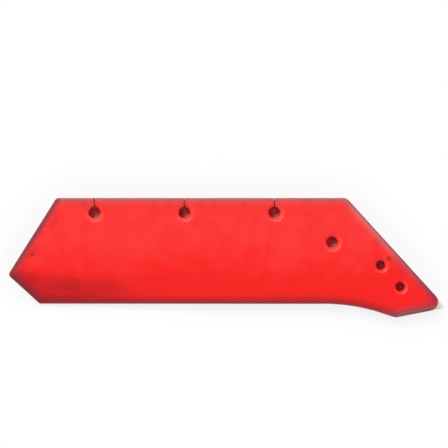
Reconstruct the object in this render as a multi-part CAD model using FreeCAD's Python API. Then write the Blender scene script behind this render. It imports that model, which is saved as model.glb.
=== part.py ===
import FreeCAD
import Part
import math
import os

from FreeCAD import Vector

# A plough share: one flat bar of steel, hot-worked along its lower edge and cropped to shape.
# It lies on its flat back. X runs along the cutting edge towards the point, Y runs from the
# cutting edge to the top edge, Z is up out of the front face. All lengths are in millimetres.

# Outline
blade_width = 120.0            # cutting edge to top edge
top_length = 329.0             # top edge, corner to corner
heel_angle = 57.8              # upper heel edge to the cutting edge, in degrees
heel_crop_angle = 43.5         # lower heel edge to the cutting edge, in degrees
landside_angle = 47.65         # landside edge to the cutting edge, in degrees
tip_drop = 4.5                 # tip below the line of the cutting edge
nose_end_length = 58.3         # blunt end of the nose, from the tip to its lowest corner
nose_end_angle = 11.0          # that end to the cutting edge, in degrees
nose_angle = 17.6              # how far the cutting edge turns down into the nose, in degrees
nose_turn_radius = 209.0       # of that turn

corner_radius = 5.0            # cropped corners, seen from above
landside_corner_radius = 9.0
tip_radius = 10.5
nose_corner_radius = 8.0

# Section. Along the cutting edge a worked band slopes down from the flat front face, and its
# lowest strip, the lip, slopes more. The band is steep at the heel and slight from the turn on.
plate_thickness = 12.0
band_width = 33.0
lip_width = 13.0
heel_lip_thickness = 6.0       # where the band meets the lip
turn_lip_thickness = 10.9
heel_edge_thickness = 3.2      # at the cutting edge itself
turn_edge_thickness = 8.1
twist_sections = 7             # sections that guide the band from the heel to the turn
crease_radius = 30.0           # between the flat face and the band
lip_crease_radius = 30.0       # between the band and the lip
front_rim_radius = 2.0
back_rim_radius = 0.6

# Bevel on the front of the nose's blunt end
nose_bevel_width = 5.5
nose_end_thickness = 5.0
nose_bevel_crease_radius = 4.0

# Bolt holes, countersunk from the front
share_bolt_hole = 13.0         # for 12 mm plough bolts
share_bolt_head = 22.0
row_count = 3
row_spacing = 102.0
row_inset = 16.3               # hole centres below the top edge
row_start = 43.2               # first hole centre from the heel corner of the top edge
landside_hole_along = 25.9     # fourth hole, down the landside edge from its top corner
landside_hole_inset = 45.8
point_bolt_hole = 10.5         # for the 10 mm bolts of a loose point
point_bolt_head = 18.0
point_hole_count = 2
point_hole_along = 82.4
point_hole_spacing = 32.9
point_hole_inset = 22.7
countersink_angle = 90.0
countersink_lip_radius = 0.6

# Relief saw cuts from the top row of holes to the top edge
saw_cut_width = 1.5

# Small round marks that a hardness tester leaves
test_mark_diameter = 4.6
test_mark_depth = 0.8
heel_mark_along = 34.5         # up the heel edge from its point
heel_mark_inset = 12.0
landside_mark_along = 83.1
landside_mark_inset = 10.9

overrun = 10.0                 # how far cutting tools run past the surfaces that they cut


def turned(degrees):
    """A flat unit vector at this angle to the cutting edge."""
    return Vector(math.cos(math.radians(degrees)), math.sin(math.radians(degrees)), 0)


top_left = Vector(0, blade_width, 0)
top_right = Vector(top_length, blade_width, 0)
heel_point_x = -(blade_width - band_width) / math.tan(math.radians(heel_angle))
heel_point = Vector(heel_point_x, band_width, 0)
crop_length = band_width / math.sin(math.radians(heel_crop_angle))
bottom_left = heel_point + turned(-heel_crop_angle) * crop_length
landside_length = (blade_width + tip_drop) / math.sin(math.radians(landside_angle))
tip = top_right + turned(-landside_angle) * landside_length
nose_bottom = tip - turned(nose_end_angle) * nose_end_length
nose_length = -nose_bottom.y / math.sin(math.radians(nose_angle))
nose_turn = nose_bottom - turned(-nose_angle) * nose_length


def corner_arc(before, corner, after, radius):
    """Start, middle and end of the arc that rounds a corner between two straight runs."""
    back = (before - corner).normalize()
    onward = (after - corner).normalize()
    half = back.getAngle(onward) / 2
    reach = radius / math.tan(half)
    middle = corner + (back + onward).normalize() * (radius / math.sin(half) - radius)
    return corner + back * reach, middle, corner + onward * reach


def rounded_outline(corners):
    """A closed wire through the corners, each rounded to its own radius."""
    places = [place for place, radius in corners]
    arcs = []
    for i, (place, radius) in enumerate(corners):
        following = places[(i + 1) % len(places)]
        arcs.append(corner_arc(places[i - 1], place, following, radius))
    edges = []
    for i, (start, middle, end) in enumerate(arcs):
        edges.append(Part.Arc(start, middle, end).toShape())
        edges.append(Part.LineSegment(end, arcs[(i + 1) % len(arcs)][0]).toShape())
    return Part.Wire(edges)


outline = rounded_outline([
    (top_left, corner_radius),
    (top_right, landside_corner_radius),
    (tip, tip_radius),
    (nose_bottom, nose_corner_radius),
    (nose_turn, nose_turn_radius),
    (bottom_left, corner_radius),
    (heel_point, corner_radius),
])


def band_section(foot, inward, lip_thickness, edge_thickness):
    """What stays under the band, in a plane across the cutting edge at foot: lip, band, soft creases.

    It reaches past the back, the face and the edge, which the cropped blank then bounds."""
    up = Vector(0, 0, 1)
    edge = foot + up * edge_thickness
    lip = foot + inward * lip_width + up * lip_thickness
    crease = foot + inward * band_width + up * plate_thickness
    low_edge = edge - (lip - edge).normalize() * overrun
    lip_arc = corner_arc(edge, lip, crease, lip_crease_radius)
    crease_arc = corner_arc(lip, crease, crease + inward, crease_radius)
    above_face = crease_arc[2] + up * overrun
    far_above = above_face + inward * blade_width
    far_below = far_above - up * (plate_thickness + 2 * overrun)
    low_back = far_below + inward * (low_edge - far_below).dot(inward)
    edges = [
        Part.LineSegment(low_back, low_edge).toShape(),
        Part.LineSegment(low_edge, lip_arc[0]).toShape(),
        Part.Arc(*lip_arc).toShape(),
        Part.LineSegment(lip_arc[2], crease_arc[0]).toShape(),
        Part.Arc(*crease_arc).toShape(),
        Part.LineSegment(crease_arc[2], above_face).toShape(),
        Part.LineSegment(above_face, far_above).toShape(),
        Part.LineSegment(far_above, far_below).toShape(),
        Part.LineSegment(far_below, low_back).toShape(),
    ]
    return Part.Wire(edges)


def banded_bar():
    """The bar before it is cropped: its band twists along the cutting edge and turns at the nose."""
    across = Vector(0, 1, 0)
    turn_reach = nose_turn_radius * math.tan(math.radians(nose_angle / 2))
    turn_start = nose_turn - Vector(turn_reach, 0, 0)
    turn_centre = turn_start - across * nose_turn_radius
    heel_start = Vector(heel_point.x - overrun, 0, 0)
    sections = []
    for i in range(twist_sections):
        done = i / (twist_sections - 1)
        share_of_heel = (1 + math.cos(math.pi * done)) / 2
        lip = turn_lip_thickness + (heel_lip_thickness - turn_lip_thickness) * share_of_heel
        edge = turn_edge_thickness + (heel_edge_thickness - turn_edge_thickness) * share_of_heel
        sections.append(band_section(heel_start + (turn_start - heel_start) * done, across, lip, edge))
    straight = Part.makeLoft(sections, True, False)
    turn_section = sections[-1]
    turn = Part.Face(turn_section).revolve(turn_centre, Vector(0, 0, -1), nose_angle)
    nose_section = turn_section.copy()
    nose_section.rotate(turn_centre, Vector(0, 0, -1), nose_angle)
    nose = Part.Face(nose_section).extrude(turned(-nose_angle) * (nose_length + landside_length))
    return straight.fuse([turn, nose])


def nose_bevel():
    """What comes off the nose's blunt end: a slope down to the end, with a soft crease at its top."""
    along = turned(nose_end_angle)
    inward = turned(nose_end_angle + 90)
    up = Vector(0, 0, 1)
    foot = nose_bottom - along * overrun
    edge = foot + up * nose_end_thickness
    crease = foot + inward * nose_bevel_width + up * plate_thickness
    low_edge = edge - (crease - edge).normalize() * overrun
    crease_arc = corner_arc(edge, crease, crease + inward, nose_bevel_crease_radius)
    above_face = crease_arc[2] + up * overrun
    above_edge = low_edge + up * (above_face - low_edge).dot(up)
    profile = Part.Wire([
        Part.LineSegment(low_edge, crease_arc[0]).toShape(),
        Part.Arc(*crease_arc).toShape(),
        Part.LineSegment(crease_arc[2], above_face).toShape(),
        Part.LineSegment(above_face, above_edge).toShape(),
        Part.LineSegment(above_edge, low_edge).toShape(),
    ])
    return Part.Face(profile).extrude(along * (nose_end_length + 2 * overrun))


def rim_edges(solid, front):
    """The edges round the outline, on the front or on the back."""
    found = []
    for edge in solid.Edges:
        half_way = edge.valueAt((edge.FirstParameter + edge.LastParameter) / 2)
        direction = edge.tangentAt((edge.FirstParameter + edge.LastParameter) / 2)
        foot = Part.Vertex(half_way.x, half_way.y, 0)
        on_outline = foot.distToShape(outline)[0] < 0.01
        upright = abs(direction.z) > 0.99
        if on_outline and not upright and (half_way.z > back_rim_radius) == front:
            found.append(edge)
    return found


def lip_edges(solid, centre, hole, head):
    """The outer rim of one countersink, where its cone meets the front face or the band."""
    found = []
    for edge in solid.Edges:
        half_way = edge.valueAt((edge.FirstParameter + edge.LastParameter) / 2)
        radial = Vector(half_way.x - centre.x, half_way.y - centre.y, 0)
        on_cone = hole / 2 + 0.01 < radial.Length < head / 2 + 0.01
        direction = edge.tangentAt((edge.FirstParameter + edge.LastParameter) / 2)
        if on_cone and abs(direction.dot(radial.normalize())) < 0.5:
            found.append(edge)
    return found


def by_landside(along, inset):
    """A place measured down the landside edge from its top corner, and inwards from it."""
    return top_right + turned(-landside_angle) * along + turned(-landside_angle - 90) * inset


def bolt_tool(centre, hole, head):
    """A through hole with its countersink, ready to cut from the front face."""
    depth = (head - hole) / 2 / math.tan(math.radians(countersink_angle / 2))
    shank = Part.makeCylinder(hole / 2, plate_thickness + 2 * overrun, centre - Vector(0, 0, overrun))
    cone_foot = centre + Vector(0, 0, plate_thickness - depth)
    cone = Part.makeCone(hole / 2, head / 2, depth, cone_foot)
    return shank.fuse(cone)


def test_mark(centre):
    """A ball that leaves a mark of its diameter and depth in the front face."""
    radius = (test_mark_diameter ** 2 / 4 + test_mark_depth ** 2) / (2 * test_mark_depth)
    return Part.makeSphere(radius, centre + Vector(0, 0, plate_thickness + radius - test_mark_depth))


def saw_cut(centre):
    """A slit from a hole of the top row to the top edge, right through the plate."""
    corner = centre - Vector(saw_cut_width / 2, 0, overrun)
    return Part.makeBox(saw_cut_width, row_inset + overrun, plate_thickness + 2 * overrun, corner)


row_holes = [top_left + Vector(row_start + i * row_spacing, -row_inset, 0) for i in range(row_count)]
landside_hole = by_landside(landside_hole_along, landside_hole_inset)
point_holes = [
    by_landside(point_hole_along + i * point_hole_spacing, point_hole_inset)
    for i in range(point_hole_count)
]
heel_mark = heel_point + turned(heel_angle) * heel_mark_along + turned(heel_angle - 90) * heel_mark_inset
landside_mark = by_landside(landside_mark_along, landside_mark_inset)


def plough_share():
    blank = Part.Face(outline).extrude(Vector(0, 0, plate_thickness))
    share = blank.common(banded_bar()).removeSplitter()
    share = share.makeFillet(front_rim_radius, rim_edges(share, True))
    share = share.cut(nose_bevel())
    share = share.makeFillet(back_rim_radius, rim_edges(share, False))

    bolts = [(centre, share_bolt_hole, share_bolt_head) for centre in row_holes + [landside_hole]]
    bolts += [(centre, point_bolt_hole, point_bolt_head) for centre in point_holes]
    share = share.cut([bolt_tool(*bolt) for bolt in bolts])
    lips = [edge for bolt in bolts for edge in lip_edges(share, *bolt)]
    share = share.makeFillet(countersink_lip_radius, lips)
    share = share.cut([saw_cut(centre) for centre in row_holes])
    share = share.cut([test_mark(heel_mark), test_mark(landside_mark)])

    middle = outline.BoundBox.Center
    share.translate(Vector(-middle.x, -middle.y, 0))
    return share.Solids[0]


os.makedirs("parts", exist_ok=True)
share = plough_share()
share.exportStep("parts/plough_share.step")
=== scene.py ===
import math
import bpy
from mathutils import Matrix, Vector


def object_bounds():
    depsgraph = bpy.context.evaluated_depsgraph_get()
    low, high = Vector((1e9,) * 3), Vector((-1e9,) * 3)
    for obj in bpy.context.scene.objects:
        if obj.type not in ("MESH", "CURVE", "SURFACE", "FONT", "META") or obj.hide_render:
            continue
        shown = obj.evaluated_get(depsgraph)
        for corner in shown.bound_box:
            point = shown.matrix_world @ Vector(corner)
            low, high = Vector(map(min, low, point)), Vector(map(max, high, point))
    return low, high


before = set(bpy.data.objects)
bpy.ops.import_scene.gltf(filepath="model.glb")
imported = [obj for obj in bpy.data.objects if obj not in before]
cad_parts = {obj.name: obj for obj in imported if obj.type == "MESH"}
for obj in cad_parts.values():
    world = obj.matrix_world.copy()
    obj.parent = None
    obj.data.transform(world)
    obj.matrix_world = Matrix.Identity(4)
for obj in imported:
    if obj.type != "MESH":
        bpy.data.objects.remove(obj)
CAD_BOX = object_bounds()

bl_info = {
    "name": "Plough Share",
    "version": (1, 0, 0),
    "blender": (4, 5, 0),
    "location": "3D View > Sidebar > Plough Share",
    "description": "Dresses a plough share in sprayed red enamel and sets it on a pale studio floor",
    "category": "Object",
}

SHARE = "plough_share"

# Lengths are in metres. X runs along the cutting edge to the point, Y from the cutting edge to the top
# edge, and Z out of the front face.

# The share's outline from above. Each straight run has its two ends, then how far in from it the paint is
# drawn thin, with painted sheen and shade on the rim, and how far in a darker painted shade lies.
STRAIGHT_RUNS = (
    ((-0.18963, 0.06769), (0.13937, 0.06769), 0.0095, 0.0012),     # top edge
    ((0.13937, 0.06769), (0.25285, -0.05681), 0.0110, 0.0026),     # landside edge
    ((0.25285, -0.05681), (0.19563, -0.06793), 0.0130, 0.0075),    # blunt end of the nose, with its bevel
    ((-0.20964, -0.05231), (-0.24442, -0.01931), 0.0030, 0.0110),  # lower heel edge
    ((-0.24442, -0.01931), (-0.18963, 0.06769), 0.0085, 0.0072),   # upper heel edge
)
# The cutting edge turns down into the nose. Straight lines that touch the turn at these angles, in
# degrees, stand for it. The painted shade along it never reaches full strength.
TURN_CENTRE = (0.11401, -0.26131)
TURN_RADIUS = 0.209
TURN_ANGLES = (0.0, 4.4, 8.8, 13.2, 17.6)
CUTTING_EDGE_WEAR_SHEEN_SHADE, CUTTING_EDGE_SHADE = 0.003, 0.0108
CUTTING_EDGE_SHADE_COVER = 0.8

# The two hardness test marks: their centres, their radius, and the radius that the painted shade in them
# fades to
TEST_MARKS = ((-0.215879, 0.003490), (0.187294, -0.001066))
TEST_MARK_RADIUS = 0.0023
MARK_SHADE_RADIUS = 0.00345

# Where the finish, and the painted sheen and shade on it, change over the share: each change comes in from
# the first place to the second
SOFTLY = {"interpolation_type": "SMOOTHSTEP"}
# The upper face is painted paler and pinker as painted sheen, which fades down the face
PAINTED_SHEEN_FADES = {"From Min": 0.030, "From Max": -0.035, **SOFTLY}    # down the face
# Painted shade on the worked band, below a slanting line and strongest towards the heel
HEEL_SHADE_BELOW = {"From Min": -0.030, "From Max": -0.046, **SOFTLY}  # below a slanting line
TOWARDS_HEEL = {"From Min": -0.045, "From Max": -0.215, **SOFTLY}
# Towards the tip the rims take the painted shade of the nose end's bevel
TOWARDS_TIP = {"From Min": 0.17, "From Max": 0.235, "To Max": 0.9}
# Along the landside edge the rims take a painted highlight
LANDSIDE = {"From Min": 0.13, "From Max": 0.15}
BOTH_ENDS = {"From Min": 0.15, "From Max": 0.25}                    # out from the middle, either way
KNOCKS_REACH = {"From Min": 0.014, "From Max": 0.006}               # in from a cropped edge
SIDE_FACES = {"From Min": 0.005, "From Max": 0.003}                 # in from the outline, not in a hole
UPRIGHT = {"From Min": 0.6, "From Max": 0.15, **SOFTLY}             # from a level face, 1, to a side, 0
HEEL_SHADE_SLANT = 0.09    # how steeply that slanting line drops towards the point
FILM_DRIFT = 0.025    # how far these changes wander up and down the face

# The levels of a noise between which its marks come up, and how strongly they then show
PATCHES_SHOW = {"From Min": 0.42, "From Max": 0.72, "To Max": 0.55}
STREAKS_SHOW = {"From Min": 0.35, "From Max": 0.62, "To Min": 0.7, "To Max": 1.15}
BRUISES_SHOW = {"From Min": 0.72, "From Max": 0.95, "To Max": 0.6}
KNOCKS_SHOW = {"From Min": 0.53, "From Max": 0.64, "To Max": 0.75}
SHEAR_LINES_SHOW = {"From Min": 0.62, "From Max": 0.34, "To Max": 0.45}
BRUISED_AT_CROPS, BRUISED_AT_ENDS = 0.32, 0.17    # what the bruises' noise gains there
# The same falloff sets how the painted sheen and shade on the rims fade in from the edge
RIM_WEAR_SHEEN_SHADE_FALLOFF = 1.6    # how quickly the thin paint covers again, in from the edge
STREAK_STRETCH = 0.25    # streaks are four times as long as they are wide
SHEAR_STRETCH = 0.08    # shear lines run through the whole thickness

# How strongly each unevenness of the skin shows in its gloss, and its height
SHEAR_BUMP, SHEAR_HEIGHT = 0.5, 0.0003
WAVE_BUMP = {"Strength": 0.6, "Distance": 0.001}
PIT_BUMP = {"Strength": 0.4, "Distance": 0.0003}
PEEL_BUMP = {"Strength": 0.15, "Distance": 0.00005}

GLOW_FADE = 0.001    # the floor's own white comes in over this distance outside the outline

# The room as the share sees it: how far a direction points to the window's side, from -1 to 1, and how
# high it points, from 0 at the floor to 1 overhead
WALLS_TO_WINDOW = {"From Min": -0.6, "From Max": 0.6, **SOFTLY}
GLARE_TO_WINDOW = {"From Min": 0.6, "From Max": 0.95, **SOFTLY}
FOOT_TO_WALL = {"From Min": 0.1, "From Max": 0.36, **SOFTLY}
WALL_TO_CEILING = {"From Min": 0.42, "From Max": 0.6, **SOFTLY}
LOOK_TO_CEILING = {"From Min": 0.1, "From Max": 0.6, **SOFTLY}
GLARE_TO_FLOOR = {"From Min": 0.35, "From Max": 0.15, **SOFTLY}


def linear(hex_colour):
    """An sRGB hex colour as linear red, green, blue and full alpha."""
    values = [int(hex_colour[i:i + 2], 16) / 255 for i in (1, 3, 5)]
    return [v / 12.92 if v <= 0.04045 else ((v + 0.055) / 1.055) ** 2.4 for v in values] + [1.0]


def socket_in_use(sockets, name=None):
    """The socket of that number or name, or the first, of those that a node's settings leave in use."""
    if isinstance(name, int):
        return sockets[name]
    return next(socket for socket in sockets if socket.enabled and name in (None, socket.name))


def add_node(tree, kind, settings=None, links=None):
    """Adds a shader node, sets its properties and sockets, and links sockets or whole nodes to its inputs."""
    node = tree.nodes.new(kind)
    for name, value in (settings or {}).items():
        if isinstance(name, int) or name in node.inputs:
            socket_in_use(node.inputs, name).default_value = value
        else:
            setattr(node, name, value)
    for name, source in (links or {}).items():
        if isinstance(source, bpy.types.Node):
            source = socket_in_use(source.outputs)
        tree.links.new(source, socket_in_use(node.inputs, name))
    return node


def empty_material(name):
    material = bpy.data.materials.new(name)
    material.use_nodes = True
    material.node_tree.nodes.clear()
    return material, material.node_tree


class ShareFinish(bpy.types.PropertyGroup):
    """Colours and sizes of the sprayed finish."""

    # On the upper face this red carries the painted sheen
    enamel: bpy.props.StringProperty(
        name="Enamel", description="sRGB hex colour of the enamel at full thickness", default="#FC3A38")
    # Red without the painted sheen, lower on the face and in the random patches of thicker film
    unsheened_and_patch_enamel: bpy.props.StringProperty(
        name="Deep enamel", description="sRGB hex colour where it lies thicker, on the worked band",
        default="#FA2422")
    # Painted shade on the worked band towards the heel
    heel_band_shade: bpy.props.StringProperty(
        name="Heavy enamel", description="sRGB hex colour where it has run thickest, at the heel of the band",
        default="#C8181E")
    # Painted shade in the hardness test marks
    test_mark_shade: bpy.props.StringProperty(
        name="Pooled enamel", description="sRGB hex colour in the test marks", default="#CC0610")
    bruise: bpy.props.StringProperty(
        name="Bruises", description="sRGB hex colour of the dull marks near the edges", default="#C0243A")
    # Thin paint over the edges, with painted sheen and shade on the rounded rims
    rim_wear_sheen_and_shade: bpy.props.StringProperty(
        name="Thin edge", description="sRGB hex colour where the paint is drawn thin over the steel",
        default="#B4625F")
    # Painted shade along the rims, and the colour of the shear lines on the side faces
    rim_shade_and_shear_line: bpy.props.StringProperty(
        name="Dark scale", description="sRGB hex colour where the steel's dark scale shows through",
        default="#74202E")
    # Painted shade on the nose end's bevel and the rims at the tip, with a purple cast
    tip_bevel_shade: bpy.props.StringProperty(
        name="Temper tint", description="sRGB hex colour of the blued steel under the thin paint at the tip",
        default="#80203A")
    # Painted highlight where the landside rim catches the light
    landside_rim_highlight: bpy.props.StringProperty(
        name="Pale edge", description="sRGB hex colour of the rubbed paint along the landside edge",
        default="#CE7E7C")
    # Painted shade on the walls of the bolt holes and saw cuts: a deeper, darker red
    bore_shade: bpy.props.StringProperty(
        name="Bore enamel", description="sRGB hex colour in the bolt holes, where the paint ran thick",
        default="#EC0E0C")
    side_face: bpy.props.StringProperty(
        name="Side faces", description="sRGB hex colour of the paint over the cropped side faces",
        default="#B8262A")
    gloss_roughness: bpy.props.FloatProperty(
        name="Gloss roughness", description="Roughness of the enamel's glossy skin",
        default=0.3, min=0.0, max=1.0, subtype="FACTOR")
    dull_roughness: bpy.props.FloatProperty(
        name="Dull roughness", description="Roughness where the paint is thin, bruised or dented",
        default=0.6, min=0.0, max=1.0, subtype="FACTOR")
    bruise_reach: bpy.props.FloatProperty(
        name="Bruise reach", description="How far in from the cropped edges the dull marks gather",
        default=0.018, unit="LENGTH")
    knock: bpy.props.FloatProperty(
        name="Knocks", description="Distance between the small knocks in the paint near the ends",
        default=0.0042, unit="LENGTH")
    # The streaks break up the painted shade on the band at the heel
    heel_shade_streak: bpy.props.FloatProperty(
        name="Streaks", description="Width of the streaks along the worked band",
        default=0.009, unit="LENGTH")
    shear_line: bpy.props.FloatProperty(
        name="Shear lines", description="Distance between the lines that the shears left in the side faces",
        default=0.0028, unit="LENGTH")
    orange_peel: bpy.props.FloatProperty(
        name="Orange peel", description="Distance between the humps of the sprayed skin",
        default=0.0022, unit="LENGTH")
    film_patch: bpy.props.FloatProperty(
        name="Film patches", description="Distance between the patches where the film is thicker",
        default=0.015, unit="LENGTH")
    scale_pit: bpy.props.FloatProperty(
        name="Scale pits", description="Distance between the pits that mill scale left in the steel",
        default=0.007, unit="LENGTH")
    forge_wave: bpy.props.FloatProperty(
        name="Forging waves", description="Distance between the shallow waves of the hot-worked steel",
        default=0.045, unit="LENGTH")


class ShareStudio(bpy.types.PropertyGroup):
    """Sizes and colours of the floor, the camera and the light."""

    floor_size: bpy.props.FloatProperty(
        name="Floor", description="Side of the square floor", default=16.0, unit="LENGTH")
    floor_gap: bpy.props.FloatProperty(
        name="Floor gap", description="Air under the share, so that its back and the floor aren't one plane",
        default=0.0001, unit="LENGTH", precision=5)
    card_colour: bpy.props.StringProperty(
        name="Card", description="sRGB hex colour of the floor", default="#FCFCFC")
    card_glow: bpy.props.FloatProperty(
        name="Card glow", description="Share of the card's white that is its own, and takes no shadow",
        default=0.78, min=0.0, max=1.0, subtype="FACTOR")
    picture_width: bpy.props.FloatProperty(
        name="Picture width", description="Width that the picture shows at the share's face",
        default=0.507, unit="LENGTH")
    picture_centre: bpy.props.FloatVectorProperty(
        name="Picture centre", description="Place on the floor at the middle of the picture",
        size=2, default=(0.0004, 0.0383), unit="LENGTH")
    camera_height: bpy.props.FloatProperty(
        name="Camera height", description="Camera above the share's face", default=1.6, unit="LENGTH")
    window_light: bpy.props.FloatProperty(
        name="Window light", description="Strength of the window light", default=1.3, min=0.0)
    window_size: bpy.props.FloatProperty(
        name="Window size", description="How wide the window looks from the share",
        default=math.radians(20), subtype="ANGLE", unit="ROTATION")
    window_height: bpy.props.FloatProperty(
        name="Window height", description="Angle of the window above the floor",
        default=math.radians(34), subtype="ANGLE", unit="ROTATION")
    window_turn: bpy.props.FloatProperty(
        name="Window side", description="Turn of the window from the far side to the left",
        default=math.radians(32), subtype="ANGLE", unit="ROTATION")
    wall_light: bpy.props.FloatProperty(
        name="Walls", description="Light from the walls on the window's side", default=4.1, min=0.0)
    far_wall_light: bpy.props.FloatProperty(
        name="Far walls", description="Light from the walls away from the window", default=3.45, min=0.0)
    skirting_light: bpy.props.FloatProperty(
        name="Foot of the walls", description="Light from the foot of the walls", default=0.5, min=0.0)
    ceiling_light: bpy.props.FloatProperty(
        name="Ceiling", description="Light from the room's ceiling", default=0.005, min=0.0)
    seen_wall: bpy.props.FloatProperty(
        name="Seen walls", description="How bright the walls look in the paint", default=0.7, min=0.0)
    seen_ceiling: bpy.props.FloatProperty(
        name="Seen ceiling", description="How bright the ceiling looks in the paint", default=0.15, min=0.0)
    window_glare: bpy.props.FloatProperty(
        name="Window glare", description="How much brighter the wall looks low down towards the window",
        default=3.4, min=0.0)


def extreme(tree, values, choice="MAXIMUM"):
    """The largest of several values, or with MINIMUM the smallest."""
    result = values[0]
    for value in values[1:]:
        result = add_node(tree, "ShaderNodeMath", {"operation": choice}, {0: result, 1: value})
    return result


def distance_inside(tree, place, inward, foot):
    """How far a place is inside the straight line through foot."""
    reach = add_node(tree, "ShaderNodeVectorMath", {"operation": "DOT_PRODUCT", 1: inward}, {0: place})
    return add_node(tree, "ShaderNodeMath", {"operation": "SUBTRACT", 1: foot.dot(inward)}, {0: reach})


def outline_distances(tree, place):
    """How far a place is inside each straight run of the outline, and inside the cutting edge."""
    from_runs = []
    for start, end, _, _ in STRAIGHT_RUNS:
        start, end = Vector((*start, 0)), Vector((*end, 0))
        along = (end - start).normalized()
        from_runs.append(distance_inside(tree, place, Vector((along.y, -along.x, 0)), start))
    from_touching_lines = []
    for angle in TURN_ANGLES:
        inward = Vector((math.sin(math.radians(angle)), math.cos(math.radians(angle)), 0))
        foot = Vector((*TURN_CENTRE, 0)) + inward * TURN_RADIUS
        from_touching_lines.append(distance_inside(tree, place, inward, foot))
    return from_runs, extreme(tree, from_touching_lines)


def rim_wear_and_shade_masks(tree, from_runs, from_edge):
    """How thin the paint is drawn, with painted sheen and shade, and how strong the darker painted shade
    is, in from each part of the outline.
    """
    widths = [(thin, scale, 1.0) for _, _, thin, scale in STRAIGHT_RUNS]
    widths.append((CUTTING_EDGE_WEAR_SHEEN_SHADE, CUTTING_EDGE_SHADE, CUTTING_EDGE_SHADE_COVER))
    worn_sheened_shaded, rim_shaded = [], []
    for distance, (thin, scale, cover) in zip([*from_runs, from_edge], widths):
        worn_sheened_shaded.append(add_node(
            tree, "ShaderNodeMapRange", {"From Min": thin, "From Max": 0.0}, {"Value": distance}))
        rim_shaded.append(add_node(
            tree, "ShaderNodeMapRange", {"From Min": scale, "From Max": 0.0, "To Max": cover},
            {"Value": distance}))
    return extreme(tree, worn_sheened_shaded), extreme(tree, rim_shaded)


def test_mark_mask(tree, place):
    """How near a place is to the middle of a hardness test mark."""
    marks = []
    for centre in TEST_MARKS:
        away = add_node(tree, "ShaderNodeVectorMath", {"operation": "DISTANCE", 1: (*centre, CAD_BOX[1].z)},
                        {0: place})
        marks.append(add_node(tree, "ShaderNodeMapRange", {
            "From Min": MARK_SHADE_RADIUS, "From Max": TEST_MARK_RADIUS}, {"Value": away}))
    return extreme(tree, marks)


def sprayed_film(tree, finish, place, sides, waves, patches):
    """The film's colour: painted sheen high on the face, fading down it, deeper in random patches, and
    painted shade in streaks at the band's heel.
    """
    drift = add_node(tree, "ShaderNodeMath", {
        "operation": "MULTIPLY_ADD", 1: 2 * FILM_DRIFT, 2: -FILM_DRIFT}, {0: waves})
    height = add_node(tree, "ShaderNodeMath", {"operation": "ADD"}, {0: sides.outputs["Y"], 1: drift})
    # Painted sheen: the paler red high on the face fades down it, and random patches deepen it
    sheen_fade_and_patches = add_node(tree, "ShaderNodeMapRange", PAINTED_SHEEN_FADES, {"Value": height})
    patched = add_node(tree, "ShaderNodeMapRange", PATCHES_SHOW, {"Value": patches})
    sheen_fade_and_patches = add_node(tree, "ShaderNodeMath", {"operation": "ADD", "use_clamp": True},
                        {0: sheen_fade_and_patches, 1: patched})
    film = add_node(tree, "ShaderNodeMix", {
        "data_type": "RGBA", "A": linear(finish.enamel), "B": linear(finish.unsheened_and_patch_enamel)},
        {"Factor": sheen_fade_and_patches})

    # Painted shade: a darker red on the band towards the heel, broken into streaks
    slanted = add_node(tree, "ShaderNodeMath", {"operation": "MULTIPLY_ADD", 1: HEEL_SHADE_SLANT},
                       {0: sides.outputs["X"], 2: height})
    heel_shade = add_node(tree, "ShaderNodeMapRange", HEEL_SHADE_BELOW, {"Value": slanted})
    heelward = add_node(tree, "ShaderNodeMapRange", TOWARDS_HEEL, {"Value": sides.outputs["X"]})
    heel_shade = add_node(tree, "ShaderNodeMath", {"operation": "MULTIPLY"}, {0: heel_shade, 1: heelward})
    along = add_node(tree, "ShaderNodeMapping", {"Scale": (STREAK_STRETCH, 1.0, 1.0)}, {"Vector": place})
    streaks = add_node(tree, "ShaderNodeTexNoise", {
        "Scale": 1 / finish.heel_shade_streak, "Detail": 3.0, "Roughness": 0.6}, {"Vector": along})
    streaky = add_node(tree, "ShaderNodeMapRange", STREAKS_SHOW, {"Value": streaks})
    heel_shade = add_node(tree, "ShaderNodeMath", {"operation": "MULTIPLY", "use_clamp": True},
                     {0: heel_shade, 1: streaky})
    return add_node(tree, "ShaderNodeMix", {"data_type": "RGBA", "B": linear(finish.heel_band_shade)},
                    {"Factor": heel_shade, "A": film})


def bruised_film(tree, finish, place, sides, patches, from_crops, film):
    """The film, bruised near the cropped edges and knocked near both ends, and how bruised it is."""
    near = add_node(tree, "ShaderNodeMapRange", {
        "From Min": finish.bruise_reach, "From Max": 0.0, "To Max": BRUISED_AT_CROPS}, {"Value": from_crops})
    far_out = add_node(tree, "ShaderNodeMath", {"operation": "ABSOLUTE"}, {0: sides.outputs["X"]})
    ends = add_node(tree, "ShaderNodeMapRange", BOTH_ENDS, {"Value": far_out})
    gathered = add_node(tree, "ShaderNodeMath", {"operation": "ADD"}, {0: near, 1: patches})
    gathered = add_node(tree, "ShaderNodeMath", {"operation": "MULTIPLY_ADD", 1: BRUISED_AT_ENDS},
                        {0: ends, 2: gathered})
    bruised = add_node(tree, "ShaderNodeMapRange", BRUISES_SHOW, {"Value": gathered})

    knocks = add_node(tree, "ShaderNodeTexNoise", {"Scale": 1 / finish.knock, "Detail": 2.0},
                      {"Vector": place})
    knocked = add_node(tree, "ShaderNodeMapRange", KNOCKS_SHOW, {"Value": knocks})
    reach = add_node(tree, "ShaderNodeMapRange", KNOCKS_REACH, {"Value": from_crops})
    for limit in (reach, ends):
        knocked = add_node(tree, "ShaderNodeMath", {"operation": "MULTIPLY"}, {0: knocked, 1: limit})
    for marks in (bruised, knocked):
        film = add_node(tree, "ShaderNodeMix", {"data_type": "RGBA", "B": linear(finish.bruise)},
                        {"Factor": marks, "A": film})
    return film, bruised


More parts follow.
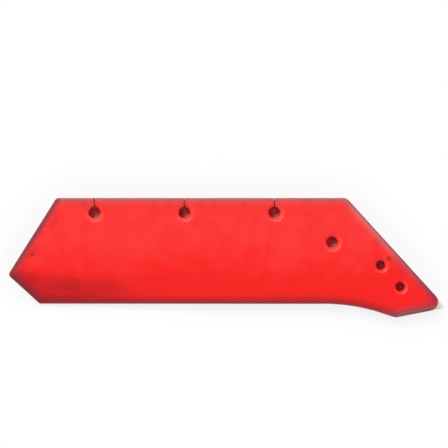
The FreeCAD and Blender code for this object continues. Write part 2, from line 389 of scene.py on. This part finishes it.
def worn_and_rim_shaded_film(tree, finish, sides, thin, scale, film):
    """The film drawn thin over the steel along the outline, with painted sheen and shade on the rims: a
    painted highlight along the landside edge, and painted shade at the tip.
    """
    tipward = add_node(tree, "ShaderNodeMapRange", TOWARDS_TIP, {"Value": sides.outputs["X"]})
    # Painted highlight along the landside rim
    landside = add_node(tree, "ShaderNodeMapRange", LANDSIDE, {"Value": sides.outputs["X"]})
    # The thin paint's colour along the rims, painted with their sheen and shade
    steel = add_node(tree, "ShaderNodeMix", {
        "data_type": "RGBA", "A": linear(finish.rim_wear_sheen_and_shade), "B": linear(finish.landside_rim_highlight)},
        {"Factor": landside})
    steel = add_node(tree, "ShaderNodeMix", {"data_type": "RGBA", "B": linear(finish.tip_bevel_shade)},
                     {"Factor": tipward, "A": steel})
    # rim: the darker painted shade along the outline, turning into the tip's painted shade
    rim = add_node(tree, "ShaderNodeMix", {
        "data_type": "RGBA", "A": linear(finish.rim_shade_and_shear_line), "B": linear(finish.tip_bevel_shade)},
        {"Factor": tipward})
    for amount, below in ((thin, steel), (scale, rim)):
        film = add_node(tree, "ShaderNodeMix", {"data_type": "RGBA"},
                        {"Factor": amount, "A": film, "B": below})
    return film


def red_enamel(finish):
    """Alkyd enamel sprayed over hot-worked steel: a saturated red with a soft gloss, and painted sheen high
    on the face.

    It is drawn thin along the outline, where the grey steel dulls it, with painted sheen and shade on the
    rims, and bruised near the edges by handling. Painted shade lies on the band at the heel, on the nose's
    bevel, in the holes and in the test marks. The spray leaves an orange peel over the steel's shallow
    forging waves and scale pits."""
    material, tree = empty_material("sprayed_red_enamel")
    place = add_node(tree, "ShaderNodeTexCoord").outputs["Object"]
    sides = add_node(tree, "ShaderNodeSeparateXYZ", {}, {"Vector": place})
    through = add_node(tree, "ShaderNodeMapping", {"Scale": (1.0, 1.0, SHEAR_STRETCH)}, {"Vector": place})

    # Patterns, at their real distances. Sprayed enamel and shears also leave finer humps and lines, but
    # these are as fine as the picture can show.
    waves, pits, peel, patches, shear_lines = [
        add_node(tree, "ShaderNodeTexNoise", {"Scale": 1 / apart, "Detail": detail, "Roughness": rough},
                 {"Vector": over})
        for apart, detail, rough, over in (
            (finish.forge_wave, 1.0, 0.5, place), (finish.scale_pit, 3.0, 0.5, place),
            (finish.orange_peel, 2.0, 0.5, place), (finish.film_patch, 4.0, 0.6, place),
            (finish.shear_line, 3.0, 0.65, through))]

    # Where: in from the outline, on the cropped side faces, in the holes, and in the test marks
    from_runs, from_edge = outline_distances(tree, place)
    from_crops = extreme(tree, from_runs, "MINIMUM")
    # thin: thin paint with painted sheen and shade on the rims; scale: a darker painted shade along the rims
    thin, scale = rim_wear_and_shade_masks(tree, from_runs, from_edge)
    thin = add_node(tree, "ShaderNodeMath", {"operation": "POWER", 1: RIM_WEAR_SHEEN_SHADE_FALLOFF}, {0: thin})
    facing = add_node(tree, "ShaderNodeSeparateXYZ", {},
                      {"Vector": add_node(tree, "ShaderNodeTexCoord").outputs["Normal"]})
    level = add_node(tree, "ShaderNodeMath", {"operation": "ABSOLUTE"}, {0: facing.outputs["Z"]})
    upright = add_node(tree, "ShaderNodeMapRange", UPRIGHT, {"Value": level})
    outer = add_node(tree, "ShaderNodeMapRange", SIDE_FACES,
                     {"Value": extreme(tree, [from_crops, from_edge], "MINIMUM")})
    cropped = add_node(tree, "ShaderNodeMath", {"operation": "MULTIPLY"}, {0: upright, 1: outer})
    bored = add_node(tree, "ShaderNodeMath", {"operation": "SUBTRACT"}, {0: upright, 1: cropped})
    dented = test_mark_mask(tree, place)

    # Colour: the faces first, then the painted shade in the marks and in the holes, and the side faces
    film = sprayed_film(tree, finish, place, sides, waves, patches)
    film, bruised = bruised_film(tree, finish, place, sides, patches, from_crops, film)
    colour = worn_and_rim_shaded_film(tree, finish, sides, thin, scale, film)
    # Painted shade: darker reds in the test marks and on the walls of the holes
    for amount, shade_red in ((dented, finish.test_mark_shade), (bored, finish.bore_shade)):
        colour = add_node(tree, "ShaderNodeMix", {"data_type": "RGBA", "B": linear(shade_red)},
                          {"Factor": amount, "A": colour})
    lined = add_node(tree, "ShaderNodeMapRange", SHEAR_LINES_SHOW, {"Value": shear_lines})
    # The shear lines on the side faces take the same dark colour as the painted rim shade
    side = add_node(tree, "ShaderNodeMix", {
        "data_type": "RGBA", "A": linear(finish.side_face), "B": linear(finish.rim_shade_and_shear_line)},
        {"Factor": lined})
    colour = add_node(tree, "ShaderNodeMix", {"data_type": "RGBA"},
                      {"Factor": cropped, "A": colour, "B": side})

    # Skin: dull where it is thin, bruised or dented, and uneven in four ways, the coarsest first
    roughness = add_node(tree, "ShaderNodeMapRange", {
        "To Min": finish.gloss_roughness, "To Max": finish.dull_roughness},
        {"Value": extreme(tree, [thin, bruised, dented])})
    strength = add_node(tree, "ShaderNodeMath", {"operation": "MULTIPLY", 1: SHEAR_BUMP}, {0: cropped})
    skin = add_node(tree, "ShaderNodeBump", {"Distance": SHEAR_HEIGHT},
                    {"Height": shear_lines, "Strength": strength})
    for humps, bump in ((waves, WAVE_BUMP), (pits, PIT_BUMP), (peel, PEEL_BUMP)):
        skin = add_node(tree, "ShaderNodeBump", bump, {"Height": humps, "Normal": skin})
    paint = add_node(tree, "ShaderNodeBsdfPrincipled", {"IOR": 1.5},
                     {"Base Color": colour, "Roughness": roughness, "Normal": skin})
    add_node(tree, "ShaderNodeOutputMaterial", {}, {"Surface": paint})
    return material


def seen_directly(tree):
    """1 for the rays that show a surface, in the picture or in a gloss, and 0 for those that carry light."""
    ray = add_node(tree, "ShaderNodeLightPath").outputs
    return extreme(tree, [ray["Is Camera Ray"], ray["Is Glossy Ray"], ray["Is Transmission Ray"]])


def white_card(studio):
    """Matt white card, which looks even and has no sheen. Outside the share part of its white is its own,
    so the soft shadow stays light on it."""
    material, tree = empty_material("white_card")
    from_runs, from_edge = outline_distances(tree, add_node(tree, "ShaderNodeTexCoord").outputs["Object"])
    around = add_node(tree, "ShaderNodeMapRange", {
        "From Min": 0.0, "From Max": -GLOW_FADE, "To Max": studio.card_glow},
        {"Value": extreme(tree, [*from_runs, from_edge], "MINIMUM")})
    glow = add_node(tree, "ShaderNodeMath", {"operation": "MULTIPLY"}, {0: around, 1: seen_directly(tree)})
    card = add_node(tree, "ShaderNodeBsdfDiffuse", {"Color": linear(studio.card_colour)})
    white = add_node(tree, "ShaderNodeEmission", {"Color": linear("#FFFFFF"), "Strength": 1.0})
    surface = add_node(tree, "ShaderNodeMixShader", {}, {0: glow, 1: card, 2: white})
    add_node(tree, "ShaderNodeOutputMaterial", {}, {"Surface": surface})
    return material


def white_room(studio):
    """A plain room: white walls that light the share from all sides, under a nearly dark ceiling.

    The walls look dimmer than the light they give, so that the paint's gloss stays calm. Only low down
    towards the window do they glare in it, which gives the countersinks their pale crescents."""
    world = bpy.data.worlds.new("room")
    world.use_nodes = True
    tree = world.node_tree
    tree.nodes.clear()
    way = add_node(tree, "ShaderNodeTexCoord").outputs["Generated"]
    height = add_node(tree, "ShaderNodeSeparateXYZ", {}, {"Vector": way}).outputs["Z"]
    to_window = (-math.sin(studio.window_turn), math.cos(studio.window_turn), 0)
    side = add_node(tree, "ShaderNodeVectorMath", {"operation": "DOT_PRODUCT", 1: to_window}, {0: way})

    walls = add_node(tree, "ShaderNodeMapRange", {
        **WALLS_TO_WINDOW, "To Min": studio.far_wall_light, "To Max": studio.wall_light}, {"Value": side})
    low = add_node(tree, "ShaderNodeMapRange", {**FOOT_TO_WALL, "To Min": studio.skirting_light},
                   {"Value": height, "To Max": walls})
    light = add_node(tree, "ShaderNodeMapRange", {**WALL_TO_CEILING, "To Max": studio.ceiling_light},
                     {"Value": height, "To Min": low})

    look = add_node(tree, "ShaderNodeMapRange", {
        **LOOK_TO_CEILING, "To Min": studio.seen_wall, "To Max": studio.seen_ceiling}, {"Value": height})
    glare = add_node(tree, "ShaderNodeMapRange", {**GLARE_TO_WINDOW, "To Max": studio.window_glare},
                     {"Value": side})
    glare = add_node(tree, "ShaderNodeMapRange", GLARE_TO_FLOOR, {"Value": height, "To Max": glare})
    look = add_node(tree, "ShaderNodeMath", {"operation": "ADD"}, {0: look, 1: glare})

    level = add_node(tree, "ShaderNodeMix", {"data_type": "FLOAT"},
                     {"Factor": seen_directly(tree), "A": light, "B": look})
    sky = add_node(tree, "ShaderNodeBackground", {"Color": linear("#FFFFFF")}, {"Strength": level})
    add_node(tree, "ShaderNodeOutputWorld", {}, {"Surface": sky})
    return world


class OBJECT_OT_finish_share(bpy.types.Operator):
    """Gives the share its sprayed enamel"""

    bl_idname = "object.finish_share"
    bl_label = "Finish the share"

    def execute(self, context):
        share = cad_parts.get(SHARE)
        if share is None:
            raise RuntimeError("the frame holds no " + SHARE)
        share.data.materials.clear()
        share.data.materials.append(red_enamel(context.scene.share_finish))
        return {"FINISHED"}


class OBJECT_OT_share_studio(bpy.types.Operator):
    """Adds the pale floor, the soft light and the camera"""

    bl_idname = "object.share_studio"
    bl_label = "Set up the studio"

    def execute(self, context):
        scene = context.scene
        studio = scene.share_studio
        bpy.ops.mesh.primitive_plane_add(
            size=studio.floor_size, location=(0, 0, CAD_BOX[0].z - studio.floor_gap))
        floor = context.object
        floor.name = "floor"
        floor.data.materials.append(white_card(studio))

        scene.world = white_room(studio)
        window = bpy.data.lights.new("window", "SUN")
        window.energy = studio.window_light
        window.angle = studio.window_size
        window_object = bpy.data.objects.new("window", window)
        window_object.rotation_euler = (studio.window_height - math.pi / 2, 0, studio.window_turn)
        scene.collection.objects.link(window_object)

        camera = bpy.data.cameras.new("camera")
        camera.lens = camera.sensor_width * studio.camera_height / studio.picture_width
        camera_object = bpy.data.objects.new("camera", camera)
        camera_object.location = (*studio.picture_centre, CAD_BOX[1].z + studio.camera_height)
        scene.collection.objects.link(camera_object)
        scene.camera = camera_object
        scene.view_settings.view_transform = "Standard"
        return {"FINISHED"}


class VIEW3D_PT_plough_share(bpy.types.Panel):
    """Lists the share's steps and sizes"""

    bl_idname = "VIEW3D_PT_plough_share"
    bl_label = "Plough Share"
    bl_space_type = "VIEW_3D"
    bl_region_type = "UI"
    bl_category = "Plough Share"

    def draw(self, context):
        for group in (context.scene.share_finish, context.scene.share_studio):
            for name in group.bl_rna.properties.keys():
                if name not in ("rna_type", "name"):
                    self.layout.prop(group, name)
        for operator in (OBJECT_OT_finish_share, OBJECT_OT_share_studio):
            self.layout.operator(operator.bl_idname)


CLASSES = (ShareFinish, ShareStudio, OBJECT_OT_finish_share, OBJECT_OT_share_studio, VIEW3D_PT_plough_share)


def register():
    for entry in CLASSES:
        bpy.utils.register_class(entry)
    bpy.types.Scene.share_finish = bpy.props.PointerProperty(type=ShareFinish)
    bpy.types.Scene.share_studio = bpy.props.PointerProperty(type=ShareStudio)


def unregister():
    del bpy.types.Scene.share_studio
    del bpy.types.Scene.share_finish
    for entry in reversed(CLASSES):
        bpy.utils.unregister_class(entry)


def main():
    register()
    bpy.ops.object.finish_share()
    bpy.ops.object.share_studio()


if __name__ == "__main__":
    main()
